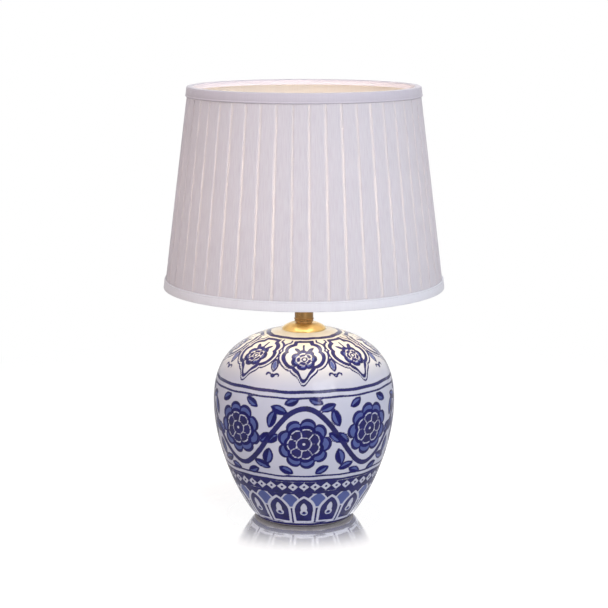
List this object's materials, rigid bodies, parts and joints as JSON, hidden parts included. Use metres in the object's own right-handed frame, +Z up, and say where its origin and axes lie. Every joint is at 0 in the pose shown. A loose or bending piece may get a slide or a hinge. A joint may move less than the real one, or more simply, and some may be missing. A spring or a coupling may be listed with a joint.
{
  "type": "table lamp",
  "caption": "Table lamp on a glazed blue-and-white ginger jar, with a brass cap and neck, a screw lamp holder with its bulb, and a tapered box-pleated cloth shade on a wire frame",
  "frame": {"origin": "centre of the foot, on the surface that the lamp stands on", "axes": "+Z up along the lamp's axis, -Y to the front, the cable outlet at +Y"},
  "size_m": [0.2998, 0.2998, 0.4662],
  "materials": {
    "porcelain": "glossy glaze over hand-painted cobalt blue",
    "felt": "short felt",
    "rubber_black": "moulded, satin",
    "zinc_steel": "zinc plated",
    "bushing_plastic": "moulded",
    "brass": "polished and lacquered",
    "holder_plastic": "moulded, satin gloss",
    "steatite": "unglazed",
    "contact_metal": "stamped strip",
    "bulb_glass": "inside-frosted",
    "clear_glass": "clear",
    "cap_aluminium": "rolled thread",
    "cap_insulator": "black, opaque",
    "solder": "dull",
    "tungsten": "drawn wire",
    "white_wire": "white powder coat",
    "lining_cloth": "smooth, slightly translucent",
    "cover_cloth": "fine weave, box pleated, translucent",
    "band_cloth": "folded bias band"
  },
  "bodies": {
    "base": {"jar": "porcelain", "foot_felt": "felt", "cable_grommet": "rubber_black", "threaded_rod": "zinc_steel", "base_washer": "zinc_steel", "base_lock_washer": "zinc_steel", "base_nut": "zinc_steel", "mouth_bushing": "bushing_plastic", "vase_cap": "brass", "neck": "brass", "holder_cup": "brass", "terminal_block": "steatite", "terminal_screws": "contact_metal", "centre_contact": "contact_metal", "side_contact": "contact_metal", "screw_shell": "contact_metal", "holder_skirt": "holder_plastic"},
    "bulb": {"bulb_glass": "bulb_glass", "bulb_cap": "cap_aluminium", "bulb_contact": "solder", "bulb_insulator": "cap_insulator", "bulb_stem": "clear_glass", "bulb_leads": "tungsten", "bulb_filament": "tungsten"},
    "shade_ring": {"shade_ring": "holder_plastic"},
    "shade": {"fitter_ring": "white_wire", "fitter_arms": "white_wire", "frame_bottom_ring": "white_wire", "frame_top_ring": "white_wire", "frame_struts": "white_wire", "shade_lining": "lining_cloth", "pleated_cover": "cover_cloth", "bottom_binding": "band_cloth", "top_binding": "band_cloth"}
  },
  "joints": [
    {"name": "shade_swivel", "type": "hinge", "parent": "base", "child": "shade", "pos_m": [0, 0, 0.2654], "axis": [0, 0, 1], "continuous": true},
    {"name": "shade_ring_unscrew", "type": "slide", "parent": "base", "child": "shade_ring", "axis": [0, 0, 1], "range_m": [0, 0.012]},
    {"name": "bulb_unscrew", "type": "slide", "parent": "base", "child": "bulb", "axis": [0, 0, 1], "range_m": [0, 0.024]}
  ]
}
